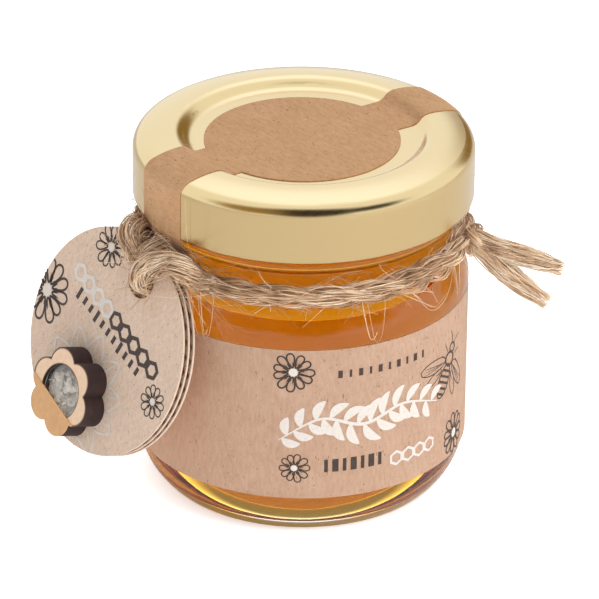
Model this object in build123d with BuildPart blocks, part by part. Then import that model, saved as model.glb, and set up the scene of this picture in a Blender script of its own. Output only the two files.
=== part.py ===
"""A small jar of honey: glass jar, twist-off lid, paper seal, label, jute twine and a round card tag.

Millimetres, +Z up. The origin is the centre of the ring that the jar stands on, and the label faces -Y.
A bearing is an angle round the jar seen from above: 0 is the front (-Y), 90 is the +X side.
"""

import os
from math import asin, atan, cos, degrees, radians, sin, sqrt, tan

from build123d import *

# Lid: drawn tinplate, rolled inwards at the bottom, with a raised ring round a sunken panel.
LID_DIAMETER = 46.0
LID_HEIGHT = 8.9
LID_SHEET = 0.35
LID_CORNER = 1.9          # radius from the skirt to the top ring
LID_CROWN = 14.0          # the top ring is crowned at this radius
LID_CURL = 0.9            # height of the rolled edge
LID_CURL_DEPTH = 1.1      # how far the rolled edge reaches inwards
LID_CURL_ROUND = 0.4      # radius of its corners
LID_RING = 5.4            # from the skirt to where the slope down to the panel starts
PANEL_SLOPE = 2.7         # width of that slope
PANEL_DEPTH = 1.2         # the panel lies this far below the top of the ring
SEALING = 0.05            # between the glass rim and the lid

# Glass jar.
BODY_DIAMETER = 44.8
WALL = 1.9
NECK_WALL = 2.2
FLOOR = 2.1
FOOT_SET_IN = 3.4         # from the body to the outer edge of the standing ring
SEAT_WIDTH = 2.2          # width of the standing ring
PUSH_UP = 0.8             # rise of the underside at its centre
HEEL_HEIGHT = 7.5
LID_BOTTOM = 41.5         # height of the lid's lower edge above the surface
LID_CLEARANCE = 1.0       # between the lid's rolled edge and the neck
BEAD_SWELL = 0.6          # the bead under the lid stands out past the neck
BEAD_HEIGHT = 1.6
BEAD_EDGE = 0.35          # set in at the bead's lower edge
GROOVE_DEPTH = 1.2        # the groove that holds the twine, inside the bead
GROOVE_HEIGHT = 5.2
GROOVE_DROP = 7.9         # from the lid's lower edge down to the groove's bottom
SHOULDER_HEIGHT = 4.6
SHOULDER_SWELL = 0.13     # the shoulder stands out past the label panel
SHOULDER_MIDDLE = 0.56    # share of the way up at which the shoulder bulges most
SHOULDER_BULGE = 0.71     # how far it bulges there

# Honey.
HEADSPACE = 1.9           # between the honey and the lid's panel

# Paper.
LABEL_BOTTOM = 6.4
LABEL_MARGIN = 0.4        # the label ends this far below the shoulder
LABEL_PAPER = 0.12
LABEL_GAP = 5.0           # left open at the back
SEAL_PAPER = 0.12
SEAL_MARGIN = 1.7         # bare panel round the disc
SEAL_WIDTH = 8.7
SEAL_BEARING = 94.0       # the strip runs across the lid along this bearing
SEAL_CENTRE = (-0.5, -0.4)
SEAL_TUCK = 3.0           # the strip's ends reach this far below the lid, down to the twine

# Twine.
TWINE = 2.6
TWINE_FIT = 0.05          # between the twine and the groove
TWINE_START = -64.0       # bearing where the twine leaves the neck for the tag's front
TWINE_END = -112.0        # bearing where it comes back behind the tag
KNOT_BEARING = 51.0
KNOT_DIAMETER = 4.4
KNOT_SET_OUT = 1.6        # the knot's centre stands out past the twine's
TAIL = 2.6
TAIL_BEARING = 50.0
UPPER_TAIL = ((2.3, 0.6), (5.3, -1.3), (9.4, -2.1), (13.6, -3.1))   # out from the neck twine, and up
LOWER_TAIL = ((2.3, -1.0), (4.2, -2.9), (8.2, -6.0), (12.0, -8.3))
TAG_STRAND = 2.2          # the twine squeezed together where it passes the tag's hole
STRAND_LIFT = 0.3         # between that strand and the tag's face
STRAND_GAP = 0.2          # between the two strands in the hole

# Round tag of two corrugated boards, hung on the twine and leaning on the bead under the lid.
TAG_DIAMETER = 30.8
TAG_BEARING = -79.0
TAG_LEAN = 18.0
TAG_GAP = 0.43            # between the tag's back and what it leans on
LINER = 0.3
FLUTE = 0.6
FLUTE_SET_BACK = 0.15     # the fluted layers end this far inside the liners
HOLE_DIAMETER = 5.2
HOLE_INSET = 4.5          # from the tag's edge to the hole's centre
HOLE_TURN = 20.0          # the hole lies this far clockwise of the tag's top
HOLE_SIDE = -3.9          # the hole hangs this far to the left of the line that the tag faces along
HOLE_DROP = 1.9           # and this far below the twine round the neck

# Flower-shaped box on the tag, with a round window.
FLOWER_PLACE = (-2.8, -8.3)
FLOWER_PETALS = 6
FLOWER_RADIUS = 3.55      # from the flower's centre to each petal's centre
PETAL_RADIUS = 2.5
FLOWER_TURN = 42.3
FLOWER_HEIGHT = 3.3
WINDOW_DIAMETER = 7.5
WINDOW_DEPTH = 0.5        # the film lies this far below the flower's face
FILM = 0.2
STICKER_PAPER = 0.15
STICKER_EDGE = 1.6        # the sticker's straight edge, this far from the flower's centre
STICKER_TURN = -112.7     # the sticker covers the side of the flower that lies this way

# Lid and neck, from the lid's diameter inwards.
lid_radius = LID_DIAMETER / 2
lid_top = LID_BOTTOM + LID_HEIGHT
panel_z = lid_top - PANEL_DEPTH
crown_start = lid_radius - LID_RING
panel_radius = crown_start - PANEL_SLOPE
seal_radius = panel_radius - SEAL_MARGIN
finish_radius = lid_radius - LID_CURL_DEPTH - LID_CLEARANCE
mouth_radius = finish_radius - NECK_WALL
bead_radius = finish_radius + BEAD_SWELL
groove_radius = bead_radius - GROOVE_DEPTH
crown_inside = LID_CROWN - LID_SHEET
crown_drop = crown_inside - sqrt(crown_inside**2 - (finish_radius - crown_start) ** 2)
rim_z = lid_top - LID_SHEET - crown_drop - SEALING
honey_top = panel_z - LID_SHEET - HEADSPACE

# Body, label and twine, from the lid downwards.
groove_z = LID_BOTTOM - GROOVE_DROP
groove_top = groove_z + GROOVE_HEIGHT
shoulder_z = groove_z - SHOULDER_HEIGHT
label_top = shoulder_z - LABEL_MARGIN
body_radius = BODY_DIAMETER / 2
shoulder_radius = body_radius + SHOULDER_SWELL
label_radius = body_radius + LABEL_PAPER
twine_radius = groove_radius + TWINE_FIT + TWINE / 2
twine_z = groove_z + GROOVE_HEIGHT / 2
bead_z = groove_top + (twine_radius - groove_radius) / 2
bead_top = bead_z + BEAD_HEIGHT

# Tag.
tag_radius = TAG_DIAMETER / 2
tag_thickness = 3 * LINER + 2 * FLUTE
hole_right = (tag_radius - HOLE_INSET) * sin(radians(HOLE_TURN))
hole_up = (tag_radius - HOLE_INSET) * cos(radians(HOLE_TURN))
flower_reach = FLOWER_RADIUS + PETAL_RADIUS


def around(bearing, radius, height):
    """The point at a bearing round the jar's axis."""
    return Vector(radius * sin(radians(bearing)), -radius * cos(radians(bearing)), height)


def on_tag(right, up, out=0.0):
    """The point at a place on the tag's front face, or above it."""
    return tag_face.from_local_coords(Vector(right, up, out))


# The tag leans on the twine in the groove, or on the shoulder where that stands out further.
lean = radians(TAG_LEAN)
hole_z = twine_z - HOLE_DROP
leans_on = max(
    twine_radius + tan(lean) * (twine_z - hole_z),
    shoulder_radius + tan(lean) * (shoulder_z - hole_z),
)
hole_out = leans_on + TAG_GAP + tag_thickness / cos(lean)
tag_right = around(TAG_BEARING + 90, 1, 0)
tag_normal = around(TAG_BEARING, cos(lean), sin(lean))
hole_centre = around(TAG_BEARING, hole_out, hole_z) + tag_right * HOLE_SIDE
tag_face = Plane(
    origin=hole_centre - tag_right * hole_right - tag_normal.cross(tag_right) * hole_up,
    x_dir=tag_right,
    z_dir=tag_normal,
)

os.makedirs("parts", exist_ok=True)


def save(part, label):
    """Names a finished piece and writes it."""
    part.label = label
    export_step(part, f"parts/{label}.step")


# The jar's inside, shared by the glass and the honey: floor, wall, shoulder, neck.
cavity_radius = body_radius - WALL
cavity_heel = WALL + FLOOR
neck_start = groove_z


def cavity_outline(top):
    """Half of the inside of the jar, up to a height, from the axis outwards and back."""
    floor = Line((0, FLOOR), (cavity_radius - cavity_heel, FLOOR))
    heel = TangentArc(floor @ 1, (cavity_radius, FLOOR + cavity_heel), tangent=(1, 0))
    wall = Line(heel @ 1, (cavity_radius, shoulder_z))
    shoulder = TangentArc(wall @ 1, (mouth_radius, neck_start), tangent=(0, 1))
    neck = Line(shoulder @ 1, (mouth_radius, top))
    Polyline(neck @ 1, (0, top), floor @ 0)


# Glass jar.
with BuildPart() as jar:
    with BuildSketch(Plane.XZ):
        with BuildLine():
            seat_outer = body_radius - FOOT_SET_IN
            push_up = TangentArc((0, PUSH_UP), (seat_outer - SEAT_WIDTH, 0), tangent=(1, 0))
            seat = Line(push_up @ 1, (seat_outer, 0))
            heel = TangentArc((body_radius, HEEL_HEIGHT), seat @ 1, tangent=(0, -1))
            wall = Line(heel @ 0, (body_radius, label_top))
            swell = Line(wall @ 1, (shoulder_radius, shoulder_z))
            bulge = (
                shoulder_radius + (groove_radius - shoulder_radius) * SHOULDER_MIDDLE + SHOULDER_BULGE,
                shoulder_z + SHOULDER_HEIGHT * SHOULDER_MIDDLE,
            )
            shoulder = ThreePointArc(swell @ 1, bulge, (groove_radius, groove_z))
            groove = Line(shoulder @ 1, (groove_radius, groove_top))
            bead_low = Line(groove @ 1, (bead_radius - BEAD_EDGE, bead_z))
            bead_side = (bead_radius, bead_z + BEAD_HEIGHT / 2)
            bead = ThreePointArc(bead_low @ 1, bead_side, (finish_radius, bead_top))
            finish = Line(bead @ 1, (finish_radius, rim_z))
            Polyline(finish @ 1, (0, rim_z), push_up @ 0)
        make_face()
        with BuildLine():
            cavity_outline(rim_z)
        make_face(mode=Mode.SUBTRACT)
    revolve(axis=Axis.Z)

save(jar.part, "jar")


# Honey, filled to just below the lid.
with BuildPart() as honey:
    with BuildSketch(Plane.XZ):
        with BuildLine():
            cavity_outline(honey_top)
        make_face()
    revolve(axis=Axis.Z)

save(honey.part, "honey")


def lid_outline(inset):
    """Half of the lid's upper surface, moved in by a thickness (out, if negative) and closed below."""
    slope_angle = atan(PANEL_DEPTH / PANEL_SLOPE)
    crown_angle = degrees(asin((lid_radius - LID_CORNER - crown_start) / (LID_CROWN - LID_CORNER)))
    foot = (panel_radius + inset * tan(slope_angle), panel_z - inset)
    crest = (crown_start, lid_top - inset)
    middle = ((foot[0] + crest[0]) / 2, (foot[1] + crest[1]) / 2)
    panel = Line((0, panel_z - inset), foot)
    TangentArc(foot, middle, tangent=(1, 0))
    TangentArc(crest, middle, tangent=(-1, 0))
    crown = JernArc(crest, (1, 0), LID_CROWN - inset, -crown_angle)
    corner = JernArc(crown @ 1, crown % 1, LID_CORNER - inset, crown_angle - 90)
    skirt = Line(corner @ 1, (lid_radius - inset, LID_BOTTOM + LID_CURL / 2))
    Polyline(skirt @ 1, (0, LID_BOTTOM + LID_CURL / 2), panel @ 0)


# Lid: one sheet, and its rolled edge.
with BuildPart() as lid:
    with BuildSketch(Plane.XZ):
        with BuildLine():
            lid_outline(0)
        make_face()
        with BuildLine():
            lid_outline(LID_SHEET)
        make_face(mode=Mode.SUBTRACT)
        with Locations((lid_radius - LID_CURL_DEPTH / 2, LID_BOTTOM + LID_CURL / 2)):
            RectangleRounded(LID_CURL_DEPTH, LID_CURL, LID_CURL_ROUND)
    revolve(axis=Axis.Z)

save(lid.part, "lid")

# Paper seal: a disc on the panel and a strip that runs over the rim and down both sides.
with BuildPart() as strip_wrap:
    with BuildSketch(Plane.XZ):
        with BuildLine():
            lid_outline(-SEAL_PAPER)
        make_face()
        with BuildLine():
            lid_outline(0)
        make_face(mode=Mode.SUBTRACT)
        with BuildLine():
            crease_z = LID_BOTTOM + LID_CURL / 6
            tuck_z = LID_BOTTOM - SEAL_TUCK
            Polyline(
                (lid_radius, LID_BOTTOM + LID_CURL / 2),
                (lid_radius + SEAL_PAPER, LID_BOTTOM + LID_CURL / 2),
                (lid_radius + SEAL_PAPER, crease_z),
                (bead_radius + 2 * SEAL_PAPER, tuck_z),
                (bead_radius + SEAL_PAPER, tuck_z),
                (lid_radius, crease_z),
                close=True,
            )
        make_face()
    revolve(axis=Axis.Z)

with BuildPart() as seal:
    add(strip_wrap.part)
    with BuildSketch(Plane.XY.offset(tuck_z)):
        with Locations(Location((*SEAL_CENTRE, 0), (0, 0, SEAL_BEARING - 90))):
            Rectangle(LID_DIAMETER * 2, SEAL_WIDTH)
    extrude(amount=LID_HEIGHT * 2, mode=Mode.INTERSECT)
    with BuildSketch(Plane.XY.offset(panel_z)):
        with Locations(SEAL_CENTRE):
            Circle(seal_radius)
    extrude(amount=SEAL_PAPER)

save(seal.part, "seal")

# Label, wrapped round the jar with a narrow gap at the back.
with BuildPart() as label:
    with BuildSketch(Plane.XY.offset(LABEL_BOTTOM)):
        Circle(label_radius)
        Circle(body_radius, mode=Mode.SUBTRACT)
        with Locations((0, body_radius)):
            Rectangle(LABEL_GAP, body_radius, mode=Mode.SUBTRACT)
    extrude(amount=label_top - LABEL_BOTTOM)

save(label.part, "label")


def cord(points, radii, diameter):
    """A round cord along a route: straight runs between the points, with an arc at each one."""
    with BuildPart() as tube:
        with BuildLine() as line:
            FilletPolyline(*points, radius=radii)
        with BuildSketch(Plane(line.line @ 0, z_dir=line.line % 0)):
            Circle(diameter / 2)
        sweep(path=line.line)
    return tube.part


# Twine round the neck, open where the tag hangs.
with BuildPart() as twine_neck:
    with BuildLine(Plane.XY.offset(twine_z)) as neck_line:
        CenterArc((0, 0), twine_radius, TWINE_START - 90, 360 + TWINE_END - TWINE_START)
    with BuildSketch(Plane(neck_line.line @ 0, z_dir=neck_line.line % 0)):
        Circle(TWINE / 2)
    sweep()

save(twine_neck.part, "twine_neck")

# Knot, drawn tight against the twine.
with BuildPart() as twine_knot:
    with Locations(around(KNOT_BEARING, twine_radius + KNOT_SET_OUT, twine_z)):
        Sphere(KNOT_DIAMETER / 2)
    add(twine_neck.part, mode=Mode.SUBTRACT)

save(twine_knot.part, "twine_knot")


def tail(points):
    """One of the twine's cut ends, from the knot outwards."""
    route = [around(TAIL_BEARING, twine_radius + out, twine_z + up) for out, up in points]
    bends = len(route) - 2
    return cord(route, [4 * TAIL] * bends, TAIL)


# The two cut ends of the twine.
with BuildPart() as twine_tail_upper:
    add(tail(UPPER_TAIL))
    add(twine_knot.part, mode=Mode.SUBTRACT)

save(twine_tail_upper.part, "twine_tail_upper")

with BuildPart() as twine_tail_lower:
    add(tail(LOWER_TAIL))
    add(twine_knot.part, mode=Mode.SUBTRACT)
    add(twine_tail_upper.part, mode=Mode.SUBTRACT)

save(twine_tail_lower.part, "twine_tail_lower")

# The twine at the tag: one strand from the neck into the hole, one from the hole over the tag's top.
on_face = TAG_STRAND / 2 + STRAND_LIFT
off_centre = (TAG_STRAND + STRAND_GAP) / 2
behind = -tag_thickness

front_route = [
    neck_line.line @ 0,
    around(TWINE_START - 8, twine_radius + 0.7, twine_z + 0.3),
    on_tag(hole_right + 4.7, hole_up + 4.4, on_face),
    on_tag(hole_right + off_centre, hole_up, on_face),
    on_tag(hole_right + off_centre, hole_up, behind),
]
top_route = [
    on_tag(hole_right - off_centre, hole_up, behind),
    on_tag(hole_right - off_centre, hole_up, on_face),
    on_tag(hole_right - 3.2, tag_radius + on_face, on_face),
    on_tag(hole_right - 3.5, tag_radius + on_face, -STRAND_LIFT),
]

with BuildPart() as twine_strand_front:
    add(cord(front_route, [3, 2.2, 1.1], TAG_STRAND))
    add(twine_neck.part, mode=Mode.SUBTRACT)

save(twine_strand_front.part, "twine_strand_front")
save(cord(top_route, [1.1, 1.0], TAG_STRAND), "twine_strand_top")


def tag_layer(depth, thickness, radius):
    """One layer of the tag, punched for the twine, its front at a depth below the tag's face."""
    with BuildPart() as layer:
        with BuildSketch(tag_face.offset(-depth)):
            Circle(radius)
            with Locations((hole_right, hole_up)):
                Circle(HOLE_DIAMETER / 2, mode=Mode.SUBTRACT)
        extrude(amount=-thickness)
    return layer.part


# The tag: liner, flutes, liner, flutes, liner.
save(tag_layer(0, LINER, tag_radius), "tag_front_liner")
save(tag_layer(LINER, FLUTE, tag_radius - FLUTE_SET_BACK), "tag_front_flutes")
save(tag_layer(LINER + FLUTE, LINER, tag_radius), "tag_middle_liner")
save(tag_layer(2 * LINER + FLUTE, FLUTE, tag_radius - FLUTE_SET_BACK), "tag_back_flutes")
save(tag_layer(2 * LINER + 2 * FLUTE, LINER, tag_radius), "tag_back_liner")


def flower_outline():
    """The flower's petals and middle, in a sketch that is being built."""
    with Locations(FLOWER_PLACE):
        Circle(FLOWER_RADIUS)
        with PolarLocations(FLOWER_RADIUS, FLOWER_PETALS, start_angle=FLOWER_TURN):
            Circle(PETAL_RADIUS)


# Flower box, cut from board and glued to the tag.
with BuildPart() as flower_box:
    with BuildSketch(tag_face):
        flower_outline()
        with Locations(FLOWER_PLACE):
            Circle(WINDOW_DIAMETER / 2, mode=Mode.SUBTRACT)
    extrude(amount=FLOWER_HEIGHT)

save(flower_box.part, "flower_box")

# What the box holds, and the clear film over it.
with BuildPart() as seeds:
    with BuildSketch(tag_face):
        with Locations(FLOWER_PLACE):
            Circle(WINDOW_DIAMETER / 2)
    extrude(amount=FLOWER_HEIGHT - WINDOW_DEPTH - FILM)

save(seeds.part, "seeds")

with BuildPart() as window_film:
    with BuildSketch(tag_face.offset(FLOWER_HEIGHT - WINDOW_DEPTH - FILM)):
        with Locations(FLOWER_PLACE):
            Circle(WINDOW_DIAMETER / 2)
    extrude(amount=FILM)

save(window_film.part, "window_film")

# Sticker over one side of the flower, with one straight edge.
with BuildPart() as sticker:
    with BuildSketch(tag_face.offset(FLOWER_HEIGHT)):
        flower_outline()
        with Locations(Location((*FLOWER_PLACE, 0), (0, 0, STICKER_TURN))):
            with Locations((STICKER_EDGE + flower_reach, 0)):
                Rectangle(2 * flower_reach, 2 * flower_reach, mode=Mode.INTERSECT)
    extrude(amount=STICKER_PAPER)

save(sticker.part, "sticker")
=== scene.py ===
# %% [markdown]
# # A small jar of honey
# The object is a shut glass jar of honey. It has a gold twist-off lid with a paper seal, a kraft label,
# jute twine round its neck and a round card tag with a little flower-shaped box.
# The parts with an exact shape come from the CAD model and only get a finish here. What is soft, hairy
# or printed is modelled in this script, around those parts. All is in metres, in the CAD model's frame.

# %% Load the CAD model
import math
import random

import bmesh
import bpy
from mathutils import Matrix, Vector, noise


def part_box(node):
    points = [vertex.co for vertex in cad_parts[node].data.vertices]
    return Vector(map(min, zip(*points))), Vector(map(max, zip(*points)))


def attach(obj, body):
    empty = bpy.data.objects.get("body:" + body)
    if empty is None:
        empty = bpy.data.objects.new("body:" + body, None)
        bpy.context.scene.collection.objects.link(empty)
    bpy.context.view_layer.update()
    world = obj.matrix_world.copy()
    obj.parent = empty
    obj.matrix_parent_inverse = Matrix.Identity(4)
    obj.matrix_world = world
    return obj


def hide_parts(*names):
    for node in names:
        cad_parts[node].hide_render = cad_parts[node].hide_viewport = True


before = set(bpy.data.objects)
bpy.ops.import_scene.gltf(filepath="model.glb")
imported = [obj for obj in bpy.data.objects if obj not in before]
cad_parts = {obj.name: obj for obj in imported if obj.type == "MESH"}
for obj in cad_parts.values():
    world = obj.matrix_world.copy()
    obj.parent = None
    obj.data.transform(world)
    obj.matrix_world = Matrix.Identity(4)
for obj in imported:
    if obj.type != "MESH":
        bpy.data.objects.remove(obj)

scene = bpy.context.scene
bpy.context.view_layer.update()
MM = 0.001

# %% [markdown]
# ## Colours and shader nodes
# A hex colour is what a screen shows. Cycles calculates with linear light, so one function turns each
# hex value to linear. A material is a small tree of nodes. One function adds a node with its settings
# and links, and a node that is given as an input is linked by its first output in use.


# %% Helpers for colours and nodes
def linear(hex_colour):
    """An sRGB hex colour as linear light."""
    values = [int(hex_colour[i : i + 2], 16) / 255 for i in (1, 3, 5)]
    return [v / 12.92 if v <= 0.04045 else ((v + 0.055) / 1.055) ** 2.4 for v in values] + [1.0]


def set_inputs(node, inputs):
    """Sets inputs to plain values, or links them to sockets or to other nodes."""
    for name, value in inputs.items():
        if isinstance(value, bpy.types.Node):
            value = next(output for output in value.outputs if output.enabled)
        if isinstance(value, bpy.types.NodeSocket):
            node.id_data.links.new(value, node.inputs[name])
        else:
            node.inputs[name].default_value = value


def add_node(tree, kind, inputs=None, **settings):
    """Adds a shader node, sets it, and sets or links its inputs."""
    node = tree.nodes.new("ShaderNode" + kind)
    for name, value in settings.items():
        setattr(node, name, value)
    set_inputs(node, inputs or {})
    return node


def new_material(name, **shader_inputs):
    """A material with a Principled shader whose plain inputs are set."""
    material = bpy.data.materials.new(name)
    material.use_nodes = True
    shader = material.node_tree.nodes["Principled BSDF"]
    for key, value in shader_inputs.items():
        shader.inputs[key.replace("_", " ")].default_value = value
    return material, material.node_tree, shader


def per(size):
    """The scale of a pattern whose features have this size in millimetres."""
    return 1 / (size * MM)


def mottled(name, size, detail, dark, pale, **shader_inputs):
    """A material whose colour wanders between two, in patches of this size in millimetres."""
    material, tree, shader = new_material(name, **shader_inputs)
    place = add_node(tree, "TexCoord").outputs["Object"]
    patches = add_node(tree, "TexNoise", {"Vector": place, "Scale": per(size), "Detail": detail})
    colours = {"Factor": patches, 6: linear(dark), 7: linear(pale)}
    set_inputs(shader, {"Base Color": add_node(tree, "Mix", colours, data_type="RGBA")})
    return material, patches, shader


def make_wavy(shader, size, detail, strength, height):
    """Bends light as a surface would with waves of this size and height in millimetres."""
    tree = shader.id_data
    place = add_node(tree, "TexCoord").outputs["Object"]
    waves = add_node(tree, "TexNoise", {"Vector": place, "Scale": per(size), "Detail": detail})
    bump = add_node(tree, "Bump", {"Height": waves, "Strength": strength, "Distance": height * MM})
    set_inputs(shader, {"Normal": bump})


def give(piece, *materials):
    """Puts these materials on a piece."""
    while len(piece.data.materials) < len(materials):
        piece.data.materials.append(None)
    for i, material in enumerate(materials):
        piece.data.materials[i] = material


# %% [markdown]
# ## Pieces
# A new piece is made with bmesh operators and then turned into an object. It rides on the one body of
# the CAD model, and gets the materials that it is given.


# %% Helpers for pieces
def finish_piece(piece, slot, *materials, replaces=()):
    """Gives a piece its materials, its body and the CAD nodes that it stands for. The slot is not used.
    """
    give(piece, *materials)
    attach(piece, "root")
    if replaces:
        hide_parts(*replaces)
    print(piece.name, "faces", len(piece.data.polygons))
    return piece


def placed(name, mesh):
    """A mesh as an object in the scene."""
    piece = bpy.data.objects.new(name, mesh)
    scene.collection.objects.link(piece)
    return piece


def to_object(bm, name, smooth_angle=35):
    """The bmesh as an object, smooth except at edges sharper than the angle."""
    mesh = bpy.data.meshes.new(name)
    bm.to_mesh(mesh)
    bm.free()
    mesh.shade_smooth()
    mesh.set_sharp_from_angle(angle=math.radians(smooth_angle))
    return placed(name, mesh)


def around(bearing, radius, height):
    """The point at a bearing round the jar's axis, in metres. Bearing 0 is the front, 90 the right."""
    turn = math.radians(bearing)
    return Vector((radius * math.sin(turn), -radius * math.cos(turn), height)) * MM


# %% [markdown]
# ## Camera
# The camera stands to the left of the label and looks down on the jar. It is far away and has a long
# lens, so the jar's upright sides stay nearly parallel.

# %% Camera
VIEW_TURN = -29.5
VIEW_RISE = 26.89
VIEW_DISTANCE = 721.0
VIEW_ROLL = 0.588
LENS = 318.5
LOOK_AT = Vector((-0.34, 0.19, 24.82)) * MM

rise = math.radians(VIEW_RISE)
away = around(VIEW_TURN, VIEW_DISTANCE * math.cos(rise), VIEW_DISTANCE * math.sin(rise))
camera = bpy.data.objects.new("camera", bpy.data.cameras.new("camera"))
camera.data.lens = LENS
camera.location = LOOK_AT + away
aim = (-away).to_track_quat("-Z", "Y").to_matrix().to_4x4()
camera.rotation_euler = (aim @ Matrix.Rotation(math.radians(VIEW_ROLL), 4, "Z")).to_euler()
scene.collection.objects.link(camera)
scene.camera = camera
scene.view_settings.view_transform = "Standard"
print("camera at mm:", [round(c / MM, 1) for c in camera.location])

# %% [markdown]
# ## Table
# The jar stands on a white table that glows a little, so it looks as white as the backdrop. Under the
# jar and just round it the glow is turned down toward the axis: a painted shadow, soft at its edge.
# Shiny parts see a dim table.

# %% White table
TABLE_GLOW = 0.85
MIRRORED_GLOW = 0.13
# The next three numbers paint a soft shadow into the table's glow, under the jar and just round it.
PAINTED_SHADOW_GLOW = 0.35
PAINTED_SHADOW_CORE = 15
PAINTED_SHADOW_EDGE = 24.5

floor_bm = bmesh.new()
bmesh.ops.create_grid(floor_bm, x_segments=1, y_segments=1, size=3.0)
floor = to_object(floor_bm, "floor")
floor.location.z = -0.02 * MM
floor_material, tree, shader = new_material(
    "white_table",
    Base_Color=linear("#E4E4E4"),
    Roughness=0.9,
    Specular_IOR_Level=0.1,
    Emission_Color=linear("#FFFFFF"),
)
mirrored = add_node(tree, "LightPath").outputs["Is Glossy Ray"]
glow = add_node(tree, "Mix", {"Factor": mirrored, "A": TABLE_GLOW, "B": MIRRORED_GLOW})
place = add_node(tree, "TexCoord").outputs["Object"]
from_jar = add_node(tree, "VectorMath", {0: place}, operation="LENGTH")
# Painted shadow: the glow falls to a share of itself near the jar's axis.
painted_shadow_span = {"From Min": PAINTED_SHADOW_CORE * MM, "From Max": PAINTED_SHADOW_EDGE * MM, "To Min": PAINTED_SHADOW_GLOW, "To Max": 1.0}
share = add_node(tree, "MapRange", {"Value": from_jar, **painted_shadow_span}, interpolation_type="SMOOTHSTEP")
shown = add_node(tree, "Math", {0: glow, 1: share}, operation="MULTIPLY")
set_inputs(shader, {"Emission Strength": shown})
give(floor, floor_material)

# %% [markdown]
# ## Room
# Gold and glass need something dark to mirror, because a mirror in an all-white room looks white. A
# Light Path node tells the world how it is seen, so it can be four rooms at once: a plain soft light for
# matt things, a room with dark patches and one bright one for mirrors, one that dims toward the
# horizon for what is seen through glass, and a white backdrop for the camera.

# %% World and lamp
ROOM_LIGHT = 0.62
MIRRORED_ROOM = 1.42
SEEN_ROOM = 7.0
HORIZON_SHARE = 0.045
HORIZON = 0.48
OVERHEAD = 0.97
BACKDROP = 1.5
KEY_POWER = 3.7
FRONT_DARK = linear("#2E2820")
GLARE = [1.6 * value for value in linear("#D6E4FF")]

world = bpy.data.worlds.new("studio")
scene.world = world
world.use_nodes = True
tree = world.node_tree
direction = add_node(tree, "TexCoord").outputs["Generated"]
ray = add_node(tree, "LightPath").outputs
mirrored = linear("#EAF4FF")
for bearing, height, inner, outer, colour in (
    (VIEW_TURN + 4, 34, 19, 41, FRONT_DARK),
    (VIEW_TURN - 38, 28, 8, 30, linear("#8C7440")),
    (VIEW_TURN + 52, 30, 6, 22, FRONT_DARK),
    (VIEW_TURN + 150, 10, 12, 26, linear("#7E6834")),
    (VIEW_TURN + 180, 58, 6, 30, GLARE),
):
    up = math.radians(height)
    centre = around(bearing, math.cos(up), math.sin(up)) / MM
    toward = add_node(tree, "VectorMath", {0: direction, 1: centre}, operation="DOT_PRODUCT")
    soft = {"From Min": math.cos(math.radians(outer)), "From Max": math.cos(math.radians(inner))}
    inside = add_node(tree, "MapRange", {"Value": toward, **soft}, interpolation_type="SMOOTHSTEP")
    mirrored = add_node(tree, "Mix", {"Factor": inside, 6: mirrored, 7: colour}, data_type="RGBA")
by_mirror = ray["Is Glossy Ray"]
by_eye = ray["Is Camera Ray"]
through_glass = {0: by_eye, 1: ray["Is Transmission Ray"]}
clear = add_node(tree, "Math", through_glass, operation="MAXIMUM")
room = add_node(tree, "Mix", {"Factor": by_mirror, 6: linear("#F4F6FA"), 7: mirrored}, data_type="RGBA")
sky = add_node(tree, "Mix", {"Factor": clear, 6: room, 7: linear("#FFFFFF")}, data_type="RGBA")

upward = add_node(tree, "SeparateXYZ", {0: direction}).outputs["Z"]
rising = {"From Min": HORIZON, "From Max": OVERHEAD}
bright = {"To Min": SEEN_ROOM * HORIZON_SHARE, "To Max": SEEN_ROOM}
dimmed = add_node(tree, "MapRange", {"Value": upward, **rising, **bright})
seen = add_node(tree, "Mix", {"Factor": by_eye, "A": dimmed, "B": BACKDROP})
unseen = add_node(tree, "Mix", {"Factor": by_mirror, "A": ROOM_LIGHT, "B": MIRRORED_ROOM})
strength = add_node(tree, "Mix", {"Factor": clear, "A": unseen, "B": seen})
set_inputs(tree.nodes["Background"], {"Color": sky, "Strength": strength})

lamp = bpy.data.lights.new("key_light", "AREA")
lamp.size = 0.45
lamp.energy = KEY_POWER
key = bpy.data.objects.new("key_light", lamp)
key.location = around(VIEW_TURN + 55, 0.55 / MM, 0.60 / MM)
aim_at = Vector((0, 0, 0.02)) - key.location
key.rotation_euler = aim_at.to_track_quat("-Z", "Y").to_euler()
key.visible_glossy = False
scene.collection.objects.link(key)
print("key light at mm:", [round(c / MM) for c in key.location])

# %% [markdown]
# ## Glass
# The jar is pressed from clear soda-lime glass, which bends light by 1.52. Pressed glass is never
# quite flat: its outside is slightly wavy, and that gives the soft kinks in its highlights.
# Honey bends light almost as much as glass, so where the two touch no surface is seen. The inner wall
# is the part whose outward side looks at a point on the axis, and below the honey's level it is clear.

# %% Clear soda-lime glass
AXIS_POINT = (0, 0, 30 * MM)
SEAM_STOP = 0.05

soda_glass, tree, shader = new_material(
    "soda_lime_glass", Base_Color=linear("#FBFDFB"), Roughness=0.0, IOR=1.52, Transmission_Weight=1.0
)
make_wavy(shader, size=7, detail=1.0, strength=0.25, height=0.06)


def seam_free(tree, touching):
    """Lets light pass unbent where two materials touch without air."""
    clear = add_node(tree, "BsdfTransparent")
    mixed = add_node(tree, "MixShader", {0: touching, 1: tree.nodes["Principled BSDF"], 2: clear})
    set_inputs(tree.nodes["Material Output"], {"Surface": mixed})


def below(tree, height):
    """1 below a height in millimetres, 0 above."""
    place = add_node(tree, "TexCoord").outputs["Object"]
    z = add_node(tree, "SeparateXYZ", {0: place}).outputs["Z"]
    return add_node(tree, "Math", {0: z, 1: height * MM}, operation="LESS_THAN")


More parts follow.
